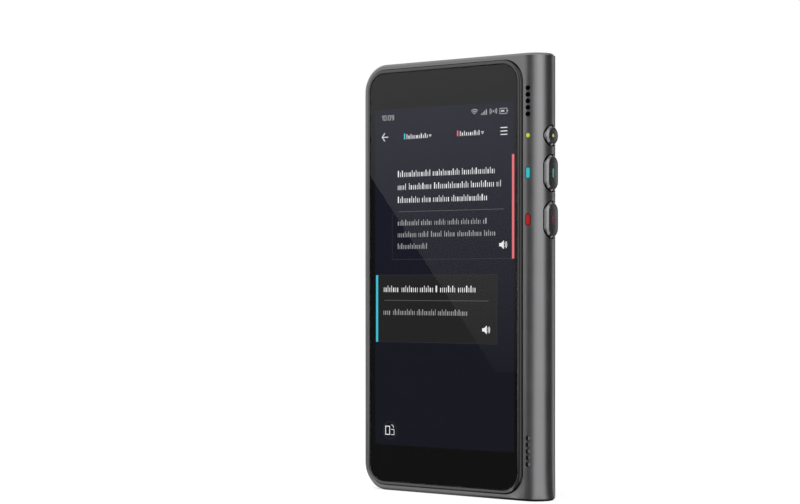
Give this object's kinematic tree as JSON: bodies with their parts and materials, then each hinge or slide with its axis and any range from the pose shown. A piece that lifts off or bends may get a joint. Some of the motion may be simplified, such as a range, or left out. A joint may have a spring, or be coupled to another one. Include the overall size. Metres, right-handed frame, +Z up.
{
  "type": "handheld translator",
  "caption": "Slim handheld translator: touch screen in a metal frame with a round spine that carries three press keys, indicator lights and two grilles; camera on the back.",
  "frame": {"origin": "where the axis of the round spine meets the flat bottom end face", "axes": "+Z up along the height, +X across the screen towards the round spine with the keys, +Y from the screen to the back; the screen faces -Y"},
  "size_m": [0.0584, 0.0106, 0.115],
  "materials": {
    "anodised_metal": "satin anodised, space grey",
    "key_metal": "satin anodised, space grey",
    "surround_plastic": "fine satin, dark grey",
    "screen_glass": "polished, black printed border",
    "display": "lit display panel",
    "steel": "plain",
    "cast_alloy": "cast, machined",
    "cover_plastic": "soft-touch satin, dark grey",
    "black_foam": "matte",
    "trim_metal": "satin",
    "black_glass": "polished, black",
    "black_plastic": "moulded",
    "flash_diffuser": "milky, ribbed",
    "led": "moulded",
    "circuit_board": "solder mask",
    "battery_wrap": "pouch film",
    "flex_film": "polyimide film",
    "black_mesh": "black woven mesh",
    "grey_mesh": "grey woven mesh",
    "yellow_light": "lit, frosted",
    "teal_light": "lit, frosted",
    "red_light": "lit, frosted",
    "switch_plastic": "moulded",
    "plunger_plastic": "moulded",
    "yellow_mark": "filled inlay",
    "teal_mark": "filled inlay",
    "red_mark": "filled inlay"
  },
  "bodies": {
    "root": {"frame_housing": "anodised_metal", "screen_surround": "surround_plastic", "cover_glass": "screen_glass", "display_panel": "display", "display_tray": "steel", "mid_plate": "cast_alloy", "back_cover": "cover_plastic", "back_adhesive": "black_foam", "camera_ring": "trim_metal", "camera_window": "black_glass", "camera_module": "black_plastic", "flash_window": "flash_diffuser", "flash_led": "led", "main_board": "circuit_board", "board_chips": "black_plastic", "shield_cans": "steel", "board_connectors": "black_plastic", "board_screws": "steel", "battery": "battery_wrap", "battery_flex": "flex_film", "link_flex": "flex_film", "charge_board": "circuit_board", "usb_shell": "steel", "usb_tongue": "black_plastic", "display_flex": "flex_film", "antenna": "flex_film", "speaker": "black_plastic", "speaker_mesh": "black_mesh", "mic_mesh": "grey_mesh", "mic_gasket": "black_foam", "microphones": "steel", "mic_board": "circuit_board", "mic_holder": "black_plastic", "power_light": "yellow_light", "teal_light": "teal_light", "red_light": "red_light", "indicator_leds": "led", "key_board": "circuit_board", "key_flex": "flex_film", "key_bracket": "steel", "power_switch": "switch_plastic", "teal_switch": "switch_plastic", "red_switch": "switch_plastic"},
    "power_key": {"power_key": "key_metal", "power_mark": "yellow_mark"},
    "power_plunger": {"power_plunger": "plunger_plastic"},
    "teal_key": {"teal_key": "key_metal", "teal_mark": "teal_mark"},
    "teal_plunger": {"teal_plunger": "plunger_plastic"},
    "red_key": {"red_key": "key_metal", "red_mark": "red_mark"},
    "red_plunger": {"red_plunger": "plunger_plastic"}
  },
  "joints": [
    {"name": "power_key_press", "type": "slide", "parent": "root", "child": "power_key", "axis": [-1, 0, 0], "range_m": [0, 0.0003], "stiffness_N_per_m": 4000, "springref_m": -0.0002},
    {"name": "power_plunger_press", "type": "slide", "parent": "root", "child": "power_plunger", "axis": [-1, 0, 0], "range_m": [0, 0.0003]},
    {"name": "teal_key_press", "type": "slide", "parent": "root", "child": "teal_key", "axis": [-1, 0, 0], "range_m": [0, 0.0003], "stiffness_N_per_m": 4000, "springref_m": -0.0002},
    {"name": "teal_plunger_press", "type": "slide", "parent": "root", "child": "teal_plunger", "axis": [-1, 0, 0], "range_m": [0, 0.0003]},
    {"name": "red_key_press", "type": "slide", "parent": "root", "child": "red_key", "axis": [-1, 0, 0], "range_m": [0, 0.0003], "stiffness_N_per_m": 4000, "springref_m": -0.0002},
    {"name": "red_plunger_press", "type": "slide", "parent": "root", "child": "red_plunger", "axis": [-1, 0, 0], "range_m": [0, 0.0003]}
  ],
  "couplings": [
    {"joint": "power_plunger_press", "follows": "power_key_press", "ratio": 1},
    {"joint": "teal_plunger_press", "follows": "teal_key_press", "ratio": 1},
    {"joint": "red_plunger_press", "follows": "red_key_press", "ratio": 1}
  ]
}
